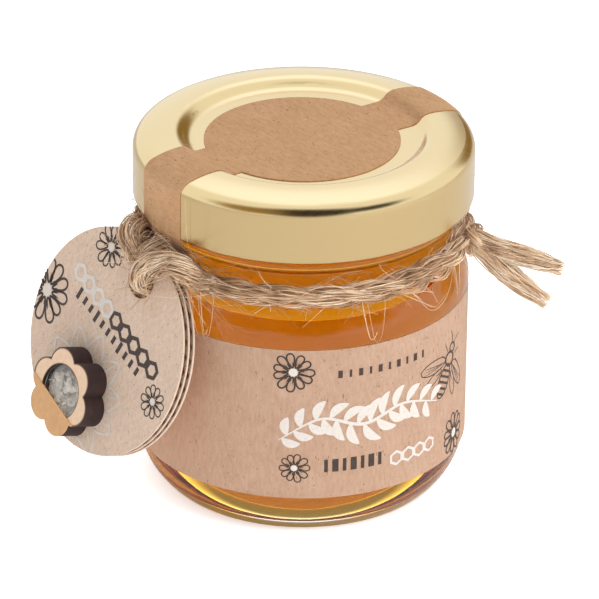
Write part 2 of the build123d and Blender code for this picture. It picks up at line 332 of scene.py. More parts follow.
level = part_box("honey")[1].z / MM
side = add_node(tree, "NewGeometry").outputs
from_axis = add_node(tree, "VectorMath", {0: side["Position"], 1: AXIS_POINT}, operation="SUBTRACT")
facing = add_node(tree, "VectorMath", {0: side["True Normal"], 1: from_axis}, operation="DOT_PRODUCT")
sign = add_node(tree, "Math", {0: side["Backfacing"], 1: -2.0, 2: 1.0}, operation="MULTIPLY_ADD")
outward = add_node(tree, "Math", {0: facing, 1: sign}, operation="MULTIPLY")
inner = add_node(tree, "Math", {0: outward, 1: 0.0}, operation="LESS_THAN")
wet = add_node(tree, "Math", {0: inner, 1: below(tree, level - SEAM_STOP)}, operation="MULTIPLY")
seam_free(tree, wet)
give(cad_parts["jar"], soda_glass)
scene.cycles.transparent_max_bounces = 32
print("glass is clear to light up to mm:", round(level - SEAM_STOP, 2))

# %% [markdown]
# ## Honey
# Honey is clear but coloured: light loses its blue in a few millimetres and its green in a few
# centimetres, so thin places are yellow and thick ones are orange. A volume that absorbs light does
# exactly that. The honey reaches a little way into the glass, because two surfaces that only touch show
# a film of air between them. Its shape is half an outline, spun round the axis.

# %% Clear amber honey
INTO_GLASS = 0.45
HONEY_HEEL = 4.0
SHOULDER_START = 29.0
NECK_START = 33.6
MOUTH_RADIUS = 18.7

honey_clear, tree, shader = new_material(
    "amber_honey", Base_Color=linear("#FFF4E0"), Roughness=0.0, IOR=1.49, Transmission_Weight=1.0
)
make_wavy(shader, size=12, detail=2.0, strength=0.1, height=0.1)
amber = add_node(tree, "VolumeAbsorption", {"Color": linear("#FEE600"), "Density": 102.0})
set_inputs(tree.nodes["Material Output"], {"Volume": amber})
seam_free(tree, below(tree, level - SEAM_STOP))


def arc(centre_r, centre_z, radius, start, end, steps):
    """Points along an arc of an outline: distance from the axis, and height."""
    turns = [math.radians(start + (end - start) * i / steps) for i in range(steps + 1)]
    return [(centre_r + radius * math.cos(a), centre_z + radius * math.sin(a)) for a in turns]


def spun(outline, name, steps=128):
    """An outline of (distance, height) in millimetres, spun round the jar's axis."""
    bm = bmesh.new()
    points = [bm.verts.new((r * MM, 0, z * MM)) for r, z in outline]
    edges = [bm.edges.new(pair) for pair in zip(points, points[1:])]
    turn = {"axis": (0, 0, 1), "cent": (0, 0, 0), "angle": math.tau, "steps": steps, "use_merge": True}
    bmesh.ops.spin(bm, geom=points + edges, **turn)
    bmesh.ops.remove_doubles(bm, verts=bm.verts, dist=0.001 * MM)
    bmesh.ops.recalc_face_normals(bm, faces=bm.faces)
    return to_object(bm, name)


honey_low, honey_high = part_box("honey")
honey_r = honey_high.x / MM
floor_z = honey_low.z / MM
narrows = honey_r - MOUTH_RADIUS
shoulder_bend = (narrows**2 + (NECK_START - SHOULDER_START) ** 2) / (2 * narrows)
shoulder_turn = math.degrees(math.asin((NECK_START - SHOULDER_START) / shoulder_bend))
honey_outline = (
    [(0, floor_z - INTO_GLASS)]
    + arc(honey_r - HONEY_HEEL, floor_z + HONEY_HEEL, HONEY_HEEL + INTO_GLASS, -90, 0, 12)
    + arc(honey_r - shoulder_bend, SHOULDER_START, shoulder_bend + INTO_GLASS, 0, shoulder_turn, 10)
    + [(MOUTH_RADIUS + INTO_GLASS, level), (0, level)]
)
honey = spun(honey_outline, "honey_fill")
finish_piece(honey, "honey", honey_clear, replaces=["honey"])

# %% [markdown]
# ## Lid
# The lid is tinplate with a gold lacquer. Under the lacquer the metal keeps the fine straight grain of
# its rolling, which stretches every reflection a little. So the shader is a metal with a low
# roughness, and a noise squeezed in one direction gives the grain.

# %% Gold lacquer on tinplate
GRAIN_STRETCH = (0.04, 1.0, 0.12)
GRAIN = 0.25

gold_lacquer, tree, shader = new_material(
    "gold_lacquered_tinplate", Base_Color=linear("#DDC08C"), Metallic=1.0, Roughness=0.26
)
place = add_node(tree, "TexCoord").outputs["Object"]
along_grain = add_node(tree, "Mapping", {"Vector": place, "Scale": GRAIN_STRETCH})
grain = add_node(tree, "TexNoise", {"Vector": along_grain, "Scale": per(GRAIN), "Detail": 3.0})
bump = add_node(tree, "Bump", {"Height": grain, "Strength": 0.1, "Distance": 0.01 * MM})
gloss = add_node(tree, "MapRange", {"Value": grain, "To Min": 0.14, "To Max": 0.28})
set_inputs(shader, {"Normal": bump, "Roughness": gloss})
give(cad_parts["lid"], gold_lacquer)
print("lid:", gold_lacquer.name)

# %% [markdown]
# ## Kraft paper
# Kraft paper is unbleached, so it is brown, and its long fibres show as short darker and lighter streaks
# with a few dark specks. The paper comes off a roll, so the streaks run one way. Its surface is matt
# with a fine relief. Real fibres are too fine to show here, so the streaks are drawn 0.4 mm wide.


# %% Kraft paper and board
FIBRE_STREAK = 0.4
CLOUD = 4
RIB = 0.55
SPECK = 0.2
WAVES_PER_SCALE = 0.314


def kraft(name, base, dark, speck, stretch):
    """Unbleached paper: streaks of fibre in two shades, with specks."""
    material, tree, shader = new_material(name, Roughness=0.82, Specular_IOR_Level=0.25)
    place = add_node(tree, "TexCoord").outputs["Object"]
    roll = add_node(tree, "Mapping", {"Vector": place, "Scale": stretch})
    streaks = {"Scale": per(FIBRE_STREAK), "Detail": 5.0, "Roughness": 0.8}
    fibres = add_node(tree, "TexNoise", {"Vector": roll, **streaks})
    clouds = add_node(tree, "TexNoise", {"Vector": place, "Scale": per(CLOUD), "Detail": 3.0})
    ribbed = {"Scale": per(RIB) * WAVES_PER_SCALE, "Distortion": 6.0, "Detail": 2.0}
    ribs = add_node(tree, "TexWave", {"Vector": roll, **ribbed}, bands_direction="DIAGONAL")
    summed = {0: ribs.outputs["Fac"], 1: 0.05, 2: fibres}
    layers = add_node(tree, "Math", summed, operation="MULTIPLY_ADD")
    mixed = add_node(tree, "Math", {0: clouds, 1: 0.25, 2: layers}, operation="MULTIPLY_ADD")
    shade = add_node(tree, "MapRange", {"Value": mixed, "From Min": 0.4, "From Max": 0.9})
    paper = add_node(tree, "Mix", {"Factor": shade, 6: linear(dark), 7: linear(base)}, data_type="RGBA")
    dots = add_node(tree, "TexNoise", {"Vector": roll, "Scale": per(SPECK), "Detail": 1.0})
    rare = add_node(tree, "MapRange", {"Value": dots, "From Min": 0.68, "From Max": 0.74})
    specked = add_node(tree, "Mix", {"Factor": rare, 6: paper, 7: linear(speck)}, data_type="RGBA")
    bump = add_node(tree, "Bump", {"Height": fibres, "Strength": 0.5, "Distance": 0.02 * MM})
    set_inputs(shader, {"Base Color": specked, "Normal": bump})
    return material


def lit_through(material, tint, share):
    """Makes a paper let a share of the light through, and hides the back of each face."""
    tree = material.node_tree
    shine = add_node(tree, "BsdfTranslucent", {"Color": linear(tint)})
    sheet = add_node(tree, "MixShader", {0: share, 1: tree.nodes["Principled BSDF"], 2: shine})
    back = add_node(tree, "NewGeometry").outputs["Backfacing"]
    one_side = add_node(tree, "MixShader", {0: back, 1: sheet, 2: add_node(tree, "BsdfTransparent")})
    set_inputs(tree.nodes["Material Output"], {"Surface": one_side})
    return material


label_paper = kraft("kraft_label_paper", "#D0B199", "#B08D75", "#8A664C", (1, 1, 0.3))
lit_through(label_paper, "#FFDFB0", 0.13)
# The inner face's paler colours are painted light: they stand for light that comes through the paper.
label_back_painted_light = kraft("kraft_label_back", "#FADCB4", "#EAC298", "#BC8C64", (1, 1, 0.3))
lit_through(label_back_painted_light, "#FFE2B8", 0.78)
seal_paper = kraft("kraft_seal_paper", "#D6AA7F", "#B98B62", "#8E6442", (1, 0.3, 1))
tag_card = kraft("kraft_tag_card", "#E9D1BC", "#CCAE96", "#967860", (1, 1, 0.5))
flute_card = kraft("brown_fluting", "#8A6A52", "#5E4433", "#3E2C22", (1, 1, 0.5))
give(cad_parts["seal"], seal_paper)
for layer in ("tag_front_liner", "tag_middle_liner", "tag_back_liner"):
    give(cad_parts[layer], tag_card)
print("papers:", [paper.name for paper in (label_paper, label_back_painted_light, seal_paper, tag_card, flute_card)])

# %% [markdown]
# ## Label
# The label is glued on, so no air is left between paper and glass, and the lit paper shows through the
# honey from behind. The CAD label only touches the glass, so a sheet that reaches a hair into the glass
# stands for it: an outline of four corners, spun round the axis but for the open strip at the back.
# Its inner face is a paler copy of the paper, brighter than the front: painted light for the light that
# comes through it.

# %% The label as a glued sheet
GLUED_IN = 0.05
PAPER = 0.12
LABEL_GAP = 5.0
INNER_SIDE = 0.1

label_low, label_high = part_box("label")
label_radius = label_high.x / MM
glued_radius = label_radius - PAPER - GLUED_IN
half_gap = LABEL_GAP / 2 / label_radius
sheet_bm = bmesh.new()
corners = [
    sheet_bm.verts.new((-r * math.sin(half_gap) * MM, r * math.cos(half_gap) * MM, z))
    for r, z in (
        (glued_radius, label_low.z),
        (label_radius, label_low.z),
        (label_radius, label_high.z),
        (glued_radius, label_high.z),
    )
]
edge = sheet_bm.faces.new(corners)
turn = math.tau - 2 * half_gap
bmesh.ops.spin(sheet_bm, geom=[edge], axis=(0, 0, 1), cent=(0, 0, 0), angle=turn, steps=150)
bmesh.ops.remove_doubles(sheet_bm, verts=sheet_bm.verts, dist=0.0001 * MM)
bmesh.ops.recalc_face_normals(sheet_bm, faces=sheet_bm.faces)
for face in sheet_bm.faces:
    if face.calc_center_median().xy.length < (label_radius - INNER_SIDE) * MM:
        face.material_index = 1
sheet = to_object(sheet_bm, "kraft_label")
finish_piece(sheet, "kraft_paper", label_paper, label_back_painted_light, replaces=["label"])

# %% [markdown]
# ## The tag's place
# The tag leans out from the jar. Its middle comes from the CAD node's box, and its direction from the
# two angles at which it hangs. With these, a point on the tag is a place to the right, a place up and
# a height above its face, all in millimetres.

# %% The tag's own frame
TAG_BEARING = -79.0
TAG_LEAN = 18.0
LINER = 0.3
FLUTE = 0.6

lean = math.radians(TAG_LEAN)
tag_out = around(TAG_BEARING, math.cos(lean), math.sin(lean)) / MM
tag_right = around(TAG_BEARING + 90, 1, 0) / MM
tag_up = tag_out.cross(tag_right)
tag_low, tag_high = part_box("tag_front_liner")
tag_centre = (tag_low + tag_high) / 2 + tag_out * LINER * MM / 2


def on_tag(right, up, out=0.0):
    """The point at a place on the tag's face, in metres."""
    return tag_centre + (tag_right * right + tag_up * up + tag_out * out) * MM


tag_radius = (tag_high.y - tag_low.y) / MM / 2 / math.sqrt(1 - tag_out.y**2)
print("tag radius in mm:", round(tag_radius, 2))

# %% [markdown]
# ## Fluting
# The tag is cut from double-wall corrugated board: between its three flat liners lie two wavy
# sheets. Each is a grid whose points are moved up and down in a wave and out to the round edge.

# %% Two wavy sheets
WAVE_LENGTH = 1.9
FLUTE_PAPER = 0.12
HOLE_PLACE = (3.73, 10.24)
HOLE_RADIUS = 2.6
EDGE_GAP = 0.15
SHORT_OF_EDGE = 0.999


def fluting(name, node, depth, phase):
    """A wavy sheet between two liners, its middle at a depth below the tag's face."""
    bm = bmesh.new()
    bmesh.ops.create_grid(bm, x_segments=260, y_segments=44, size=1.0)
    swing = (FLUTE - FLUTE_PAPER) / 2
    reach = tag_radius - EDGE_GAP
    hole = []
    for v in bm.verts:
        across = v.co.x * reach * SHORT_OF_EDGE
        half = math.sqrt(reach**2 - across**2)
        wave = swing * math.sin(math.tau * across / WAVE_LENGTH + phase)
        v.co = Vector((across, v.co.y * half, wave))
        if (v.co.x - HOLE_PLACE[1]) ** 2 + (v.co.y + HOLE_PLACE[0]) ** 2 < HOLE_RADIUS**2:
            hole.append(v)
    bmesh.ops.delete(bm, geom=hole, context="VERTS")
    bmesh.ops.solidify(bm, geom=bm.faces, thickness=FLUTE_PAPER)
    for v in bm.verts:
        v.co = on_tag(-v.co.y, v.co.x, v.co.z - depth)
    bmesh.ops.recalc_face_normals(bm, faces=bm.faces)
    return finish_piece(to_object(bm, name), "fluting", flute_card, replaces=[node])


fluting("front_fluting", "tag_front_flutes", LINER + FLUTE / 2, 0.0)
fluting("back_fluting", "tag_back_flutes", 2 * LINER + 1.5 * FLUTE, 2.0)

# %% [markdown]
# ## Drawing with ink
# The print is line drawing in two inks. A line of ink is a narrow grid, bent along a curve, with its
# own width at each place. The drawing is made flat, in millimetres, and then laid on the paper: bent
# round the jar for the label, and put on the tilted plane for the tag.


# %% Helpers for drawing
def through(points, t):
    """A point on the smooth curve through some points, for t from 0 to 1."""
    spans = len(points) - 1
    i = min(int(t * spans), spans - 1)
    f = t * spans - i
    a, b, c, d = (Vector(points[max(0, min(spans, i + k))]) for k in (-1, 0, 1, 2))
    bend = a - b * 2.5 + c * 2 - d / 2
    twist = b * 1.5 - a / 2 - c * 1.5 + d / 2
    return b + (c - a) * (f / 2) + bend * f**2 + twist * f**3


def line_of_ink(bm, curve, width, steps=24, across=1, closed=False):
    """Adds a flat line along curve(t), as wide as width(t)."""
    made = bmesh.ops.create_grid(bm, x_segments=steps, y_segments=across, size=1.0)
    near = 0.01
    for v in made["verts"]:
        t = (v.co.x + 1) / 2
        before = (t - near) % 1 if closed else max(0, t - near)
        after = (t + near) % 1 if closed else min(1, t + near)
        run = (curve(after) - curve(before)).normalized()
        side = Vector((-run.y, run.x))
        spot = curve(t % 1 if closed else t) + side * (v.co.y * width(t) / 2)
        v.co = (spot.x, spot.y, 0)


def even(width):
    """The same width all along a line."""
    return lambda t: width


def tapered(width):
    """A line that thins out at both ends."""
    return lambda t: width * (0.25 + 0.75 * math.sin(math.pi * t))


def straight(a, b):
    """A straight line from a to b."""
    return lambda t: a + (b - a) * t


def daisy(dark, light, x, y, radius, petals, seed):
    """A line-drawn daisy: petal outlines, strokes near the middle, and a pale middle."""
    chance = random.Random(seed)
    for k in range(petals):
        angle = math.tau * k / petals + chance.uniform(-0.06, 0.06)
        reach = radius * chance.uniform(0.88, 1.0)
        half = math.pi / petals * reach * 0.8
        out = Vector((math.cos(angle), math.sin(angle)))
        side = Vector((-out.y, out.x))
        foot = radius * 0.24

        def petal(t, out=out, side=side, reach=reach, half=half, foot=foot):
            rise = (1 - math.cos(math.tau * t)) / 2
            swell = math.sin(math.tau * t) * (0.55 + 0.45 * rise)
            return Vector((x, y)) + out * (foot + (reach - foot) * rise**0.8) + side * (half * swell)

        line_of_ink(dark, petal, even(radius * 0.075), steps=22, closed=True)
        for shift in (-0.3, 0.3):
            long = foot + (reach - foot) * chance.uniform(0.25, 0.5)
            start = Vector((x, y)) + out * foot * 0.9 + side * (shift * half * 0.5)
            end = Vector((x, y)) + out * long + side * (shift * half)
            line_of_ink(dark, straight(start, end), tapered(radius * 0.05), steps=6)
    disc = {"cap_ends": True, "cap_tris": True, "segments": 20, "radius": radius * 0.2}
    bmesh.ops.create_circle(light, matrix=Matrix.Translation((x, y, 0)), **disc)


# %% [markdown]
# ## Print on the label
# Dark line drawings stand round a broad white sprig of leaves. The label carries no words: its rows of
# small shapes stand where lines of type would go.

# %% Ink on the label
INK_HEIGHT = 0.03

# Printing ink sinks unevenly into kraft paper, so both inks are patchy and the white isn't pure.
black_ink = mottled("dark_brown_ink", 0.4, 3.0, "#2A211C", "#57443A", Roughness=0.6)[0]
white_ink = mottled("white_ink", 0.3, 3.0, "#CEC3B8", "#E8DFD5", Roughness=0.6)[0]


def onto_label(bm, name, slot, material, height):
    """Bends a flat drawing round the label: x runs round the jar from the front, y is the height."""
    for v in bm.verts:
        v.co = around(math.degrees(v.co.x / label_radius), label_radius + height, v.co.y)
    bmesh.ops.recalc_face_normals(bm, faces=bm.faces)
    for face in bm.faces:
        centre = face.calc_center_median()
        if face.normal.dot(Vector((centre.x, centre.y, 0))) < 0:
            face.normal_flip()
    return finish_piece(to_object(bm, name), slot, material)


def hexagon(bm, x, y, size, stroke, turn=0.0):
    """A hexagon cell: a flat ring with six corners."""
    place = Matrix.Translation((x, y, 0)) @ Matrix.Rotation(turn, 4, "Z")
    loops = []
    for reach in (size + stroke / 2, size - stroke / 2):
        made = bmesh.ops.create_circle(bm, segments=6, radius=reach, matrix=place)["verts"]
        loops += {e for v in made for e in v.link_edges}
    bmesh.ops.bridge_loops(bm, edges=loops)


def bee(dark, x, y, turn, size):
    """A line-drawn bee, seen from above: striped body, head, four wings, feelers and legs."""

    def at(along, side):
        c, s = math.cos(turn), math.sin(turn)
        return Vector((x, y)) + Vector((along * c - side * s, along * s + side * c)) * size

    def oval(along, side, long, wide, tilt):
        c, s = math.cos(tilt), math.sin(tilt)

        def curve(t):
            a = math.cos(math.tau * t) * long
            b = math.sin(math.tau * t) * wide
            return at(along + a * c - b * s, side + a * s + b * c)

        return curve

    def ring(along, side, long, wide, tilt, width, steps):
        line_of_ink(dark, oval(along, side, long, wide, tilt), even(width), steps=steps, closed=True)

    ring(-0.42, 0, 0.5, 0.26, 0, 0.2, 32)
    ring(0.22, 0, 0.2, 0.22, 0, 0.34, 24)
    ring(0.55, 0, 0.13, 0.15, 0, 0.26, 20)
    for k in range(5):
        along = -0.8 + 0.17 * k
        half = 0.24 * math.sqrt(max(0.1, 1 - ((along + 0.42) / 0.5) ** 2))
        line_of_ink(dark, straight(at(along, -half), at(along, half)), even(0.34), steps=6)
    for s in (-1, 1):
        ring(-0.1, s * 0.72, 0.55, 0.2, s * 2.1, 0.14, 30)
        ring(-0.42, s * 0.55, 0.38, 0.13, s * 2.5, 0.12, 24)
        for vein in (-0.1, 0.02, 0.12):
            rib = straight(at(0.1, s * 0.25), at(vein - 0.35, s * 1.1))
            line_of_ink(dark, rib, tapered(0.09), steps=6)
        feeler = lambda t, s=s: at(0.66 + 0.35 * t, s * (0.06 + 0.28 * t * t))
        line_of_ink(dark, feeler, tapered(0.13), steps=8)
        for leg in (-0.1, 0.2, 0.38):
            limb = straight(at(leg, s * 0.2), at(2 * leg - 0.15, s * 0.5))
            line_of_ink(dark, limb, tapered(0.14), steps=5)


dark, light = bmesh.new(), bmesh.new()
daisy(dark, light, -12.7, 25.4, 3.0, 11, 3)
daisy(dark, light, -12.5, 11.0, 2.2, 10, 5)
daisy(dark, light, 14.6, 9.4, 3.2, 11, 7)
bee(dark, 12.2, 20.6, math.radians(62), 4.9)
for count, left, wide, low, high, broad, narrow in (
    (10, -6.4, 12.8, 24.35, 25.45, 0.6, 0.34),
    (7, -8.2, 7.6, 10.3, 12.2, 0.5, 0.85),
):
    for k in range(count):
        x = left + wide * k / (count - 1)
        bar = straight(Vector((x, low)), Vector((x, high)))
        line_of_ink(dark, bar, even(narrow if k % 2 else broad), steps=3)
for k in range(4):
    hexagon(light, 2.0 + 2.0 * k, 10.6, 0.98, 0.42)

SPRIG = [(-14.6, 15.2), (-9.0, 18.4), (-3.0, 17.0), (3.0, 18.6), (9.6, 16.6)]
line_of_ink(light, lambda t: through(SPRIG, t), tapered(0.5), steps=60)
for k in range(24):
    t = 0.03 + 0.94 * k / 24
    foot = through(SPRIG, t)
    run = (through(SPRIG, min(1, t + 0.02)) - foot).normalized()
    lean_out = math.radians(52 if k % 2 else -52)
    leaf = Matrix.Rotation(lean_out, 2) @ run * (3.7 - 1.2 * abs(2 * t - 1))
    bow = Vector((-leaf.y, leaf.x)) * (0.16 if k % 2 else -0.16)
    line_of_ink(
        light,
        lambda u, a=foot, b=leaf, c=bow: a + b * u + c * math.sin(math.pi * u),
        lambda u: 0.15 + 1.15 * math.sin(math.pi * u) ** 0.8,
        steps=14,
        across=2,
    )
onto_label(dark, "label_dark_print", "print_dark", black_ink, INK_HEIGHT)
onto_label(light, "label_white_print", "print_white", white_ink, INK_HEIGHT + 0.01)

# %% [markdown]
# ## Print on the tag
# The tag has the same daisies, a large chalk-white one behind the flower box, and a slanting row of
# cells, white and then dark, where a tag has its title.

# %% Ink on the tag
FLOWER_PLACE = (-2.8, -8.3)
ROW_TURN = math.radians(-22)
CHALK_FOOT = 5.6
CHALK_HALF = 1.75


def onto_tag(bm, name, slot, material, height):
    """Lays a flat drawing on the tag and cuts it off at the tag's edge."""
    outside = [f for f in bm.faces if f.calc_center_median().length > tag_radius - 0.05]
    bmesh.ops.delete(bm, geom=outside, context="FACES")
    for v in bm.verts:
        v.co = on_tag(v.co.x, v.co.y, height)
    for face in bm.faces:
        face.normal_update()
        if face.normal.dot(tag_out) < 0:
            face.normal_flip()
    return finish_piece(to_object(bm, name), slot, material)


dark, light = bmesh.new(), bmesh.new()
daisy(dark, light, -13.6, 2.3, 4.5, 11, 11)
daisy(dark, light, -3.35, 12.2, 3.1, 11, 12)
daisy(dark, light, 11.6, -4.2, 2.4, 10, 13)
row = Vector((math.cos(ROW_TURN), math.sin(ROW_TURN)))
for k in range(9):
    spot = Vector((-8.0, 6.9)) + row * (2.42 * k)
    hexagon(light if k < 4 else dark, spot.x, spot.y, 1.12, 0.62, turn=ROW_TURN)
for k in range(11):
    spot = Vector((-7.2, 4.2)) + row * (1.55 * k)
    long = 0.9 if k in (0, 3, 7) else 0.6
    tall = Vector((-row.y, row.x)) * long
    line_of_ink(dark, straight(spot - tall, spot + tall), even(0.62), steps=3)
chance = random.Random(21)
for k in range(11):
    angle = math.tau * k / 11 + 0.2
    out = Vector((math.cos(angle), math.sin(angle)))
    side = Vector((-out.y, out.x))
    reach = chance.uniform(8.3, 9.2)

    def chalk_petal(t, out=out, side=side, reach=reach):
        rise = math.sin(math.pi * t)
        half = CHALK_HALF * (t * 2 - 1) * (1 - 0.25 * rise)
        return Vector(FLOWER_PLACE) + out * (CHALK_FOOT + (reach - CHALK_FOOT) * rise**0.6) + side * half

    line_of_ink(light, chalk_petal, lambda t: 0.26 + 0.1 * math.sin(t * 19), steps=26)
    beside = Vector(FLOWER_PLACE) + side * 0.3
    vein = straight(beside + out * CHALK_FOOT, beside + out * (reach - 0.8))
    line_of_ink(light, vein, tapered(0.24), steps=6)
onto_tag(dark, "tag_dark_print", "print_dark", black_ink, 0.02)
onto_tag(light, "tag_white_print", "print_white", white_ink, 0.03)

# %% [markdown]
# ## Flower box
# The box is cut from board with a laser, which chars its sides nearly black and browns the rim of its
# face. Its outline is six round petals. The face, the charred side and the window's wall are one mesh,
# and an attribute that is 1 at the cut edges and 0 away from them browns the rim.

# %% Laser-cut flower
FLOWER_RADIUS = 3.55
PETAL_RADIUS = 2.5
FLOWER_TURN = math.radians(42.3)
FLOWER_HEIGHT = 3.3
WINDOW_RADIUS = 3.75
RIM = 0.35


def petal_reach(angle):
    """How far the flower's outline lies from its middle, in a direction."""
    off = (angle - FLOWER_TURN + math.pi / 6) % (math.pi / 3) - math.pi / 6
    aside = FLOWER_RADIUS * math.sin(off)
    return FLOWER_RADIUS * math.cos(off) + math.sqrt(PETAL_RADIUS**2 - aside**2)


wood_face, tree, shader = new_material("pale_board", Roughness=0.7)
place = add_node(tree, "TexCoord").outputs["Object"]
charred = add_node(tree, "Attribute", attribute_name="char").outputs["Fac"]
veins = add_node(tree, "TexNoise", {"Vector": place, "Scale": per(0.6), "Detail": 4.0, "Roughness": 0.7})
shades = {"Factor": veins, 6: linear("#DCB48E"), 7: linear("#FADABC")}
board = add_node(tree, "Mix", shades, data_type="RGBA")
smoke = add_node(tree, "Math", {0: charred, 1: veins, 2: charred}, operation="MULTIPLY_ADD")
browned = add_node(tree, "Mix", {"Factor": smoke, 6: board, 7: linear("#5A3D2C")}, data_type="RGBA")
set_inputs(shader, {"Base Color": browned})

char_side, soot, shader = mottled("laser_char", 1.2, 4.0, "#1C100F", "#46302D", Roughness=0.75)
bump = add_node(shader.id_data, "Bump", {"Height": soot, "Strength": 0.4, "Distance": 0.05 * MM})
set_inputs(shader, {"Normal": bump})

STEPS = 180


def window_reach(angle):
    """The window is round."""
    return WINDOW_RADIUS


profile = (
    (petal_reach, 0.0, 0.0, 1.0),
    (petal_reach, 0.0, FLOWER_HEIGHT, 1.0),
    (petal_reach, RIM, FLOWER_HEIGHT, 0.0),
    (window_reach, -0.2, FLOWER_HEIGHT, 0.0),
    (window_reach, 0.0, FLOWER_HEIGHT, 0.8),
    (window_reach, 0.0, 0.0, 1.0),
    (petal_reach, 0.0, 0.0, 1.0),
)
bm = bmesh.new()
char = bm.verts.layers.float.new("char")
bmesh.ops.create_grid(bm, x_segments=STEPS, y_segments=len(profile) - 1, size=1.0)
for v in bm.verts:
    angle = math.pi * v.co.x
    reach, shrink, up, burn = profile[round((v.co.y + 1) / 2 * (len(profile) - 1))]
    r = reach(angle) - shrink
    v.co = Vector((r * math.cos(angle), r * math.sin(angle), up))
    v[char] = burn
bmesh.ops.remove_doubles(bm, verts=bm.verts, dist=0.0001)
for face in bm.faces:
    face.material_index = 0 if all(v.co.z > FLOWER_HEIGHT - 0.01 for v in face.verts) else 1
bmesh.ops.recalc_face_normals(bm, faces=bm.faces)
for v in bm.verts:
    v.co = on_tag(FLOWER_PLACE[0] + v.co.x, FLOWER_PLACE[1] + v.co.y, v.co.z)
flower = to_object(bm, "flower_board_box", 30)
finish_piece(flower, "flower_board", wood_face, char_side, replaces=["flower_box"])

# %% [markdown]
# ## Flakes in the window
# Behind the window lie pale, crinkled flakes. Each is a small ball, pushed out of shape by a noise and
# pressed flat, and they lie heaped at all angles on a round bed.

# %% Flakes behind the film
BED = 1.9
HEAP_TOP = FLOWER_HEIGHT - 0.72
BED_RADIUS = WINDOW_RADIUS - 0.03

# Dry flakes have a slight gloss, and mottling keeps their edges apart.
flake = mottled("pale_flakes", 0.9, 4.0, "#C6BCB2", "#FFFCF6", Roughness=0.55, Specular_IOR_Level=0.4)[0]
chance = random.Random(31)
bm = bmesh.new()
up = Matrix.Translation((0, 0, BED / 2 + 0.01))
bmesh.ops.create_cone(
    bm, cap_ends=True, segments=48, radius1=BED_RADIUS, radius2=BED_RADIUS, depth=BED - 0.02, matrix=up
)
for k in range(70):
    reach = (WINDOW_RADIUS - 0.75) * math.sqrt(chance.random())
    turn = chance.uniform(0, math.tau)
    size = chance.uniform(0.45, 0.95)
    lean_x = Matrix.Rotation(chance.uniform(-0.5, 0.5), 4, "X")
    lean_y = Matrix.Rotation(chance.uniform(-0.5, 0.5), 4, "Y")
    height = BED + chance.uniform(0.0, 0.35)
    where = Matrix.Translation((reach * math.cos(turn), reach * math.sin(turn), height))
    made = bmesh.ops.create_icosphere(bm, subdivisions=1, radius=size)["verts"]
    for v in made:
        ripple = noise.noise(v.co * 1.7 + Vector((k * 3.1, 0, 0)))
        crinkled = (v.co.x * (1 + ripple), v.co.y * (0.6 + ripple), v.co.z * 0.12 + ripple * 0.25)
        v.co = where @ (lean_x @ lean_y) @ Vector(crinkled)
for v in bm.verts:
    v.co = on_tag(FLOWER_PLACE[0] + v.co.x, FLOWER_PLACE[1] + v.co.y, min(v.co.z, HEAP_TOP))
finish_piece(to_object(bm, "window_flakes", 20), "seeds", flake, replaces=["seeds"])

# %% [markdown]
# ## Film and sticker
# Thin clear film never lies flat, so a noise in its normals gives it crinkles that catch the light. The
# sticker is orange paper over one side of the flower, rubbed a little paler in places. Both keep their
# CAD shape.

# %% Clear film and orange sticker
clear_film, tree, shader = new_material(
    "clear_film", Base_Color=linear("#F4F2EE"), Roughness=0.08, IOR=1.46, Transmission_Weight=1.0
)
make_wavy(shader, size=1.6, detail=2.0, strength=0.6, height=0.12)
give(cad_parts["window_film"], clear_film)

orange_paper = mottled("orange_sticker_paper", 0.8, 4.0, "#C98F5C", "#E4B67E", Roughness=0.5)[0]
give(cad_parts["sticker"], orange_paper)
print("film and sticker:", clear_film.name, orange_paper.name)

# %% [markdown]
# ## Jute twine
# Jute is spun from long plant fibres. Close up, the twine is a few loose plies that turn round each
# other, each made of dozens of fibres, with stray hairs that stand off. So it is built that way:
# every fibre is a thin curve that follows the twine's line, and all curves are made one mesh.


# %% The jute itself
def jute_finish(name, darkest, darker, paler, palest):
    """Each fibre has its own shade between these four."""
    material, tree, shader = new_material(name, Roughness=0.7, Specular_IOR_Level=0.3, Sheen_Weight=0.25)
    place = add_node(tree, "TexCoord").outputs["Object"]
    each = add_node(tree, "NewGeometry").outputs["Random Per Island"]
    uneven = add_node(tree, "TexNoise", {"Vector": place, "Scale": per(2.5), "Detail": 3.0})
    tone = add_node(tree, "Math", {0: each, 1: 0.75, 2: uneven}, operation="MULTIPLY_ADD")
    spread = add_node(tree, "MapRange", {"Value": tone, "From Min": 0.4, "From Max": 1.25})
    straw = add_node(tree, "ValToRGB", {"Fac": spread})
    ramp = straw.color_ramp
    ramp.elements[0].color = linear(darkest)
    ramp.elements[1].color = linear(palest)
    ramp.elements.new(0.3).color = linear(darker)
    ramp.elements.new(0.7).color = linear(paler)
    set_inputs(shader, {"Base Color": straw})
    return material


jute = jute_finish("natural_jute", "#80603F", "#BC946E", "#E2BE98", "#FFEACC")
# The cut ends get a paler copy of the same jute: painted light, for the brighter look of their loose
# fibres.
jute_painted_lighter = jute_finish("jute_painted_lighter", "#A07E5E", "#D8B48E", "#F6D8B6", "#FFF2DC")

# Hairs stop at HAIR_LIMIT, to keep near the object's size. WALL_PROFILE is jar and lid: height, radius.
FIBRE = 0.17
HAIR = 0.075
HAIR_LIMIT = 24.2
SAG = 0.15
WALL_LOW = [(0, 22.8), (29.0, 22.8), (31.6, 22.1), (33.6, 20.5)]
WALL_PROFILE = WALL_LOW + [(38.8, 20.5), (39.5, 21.7), (41.3, 23.25)]
WALL_GAP = 0.1

# %% [markdown]
# ## Lines and threads
# A stretch of twine follows a line. At every point of the line two directions across it are kept, so a
# fibre can turn round it. A curve with a bevel makes each line a round thread, and becomes a mesh.


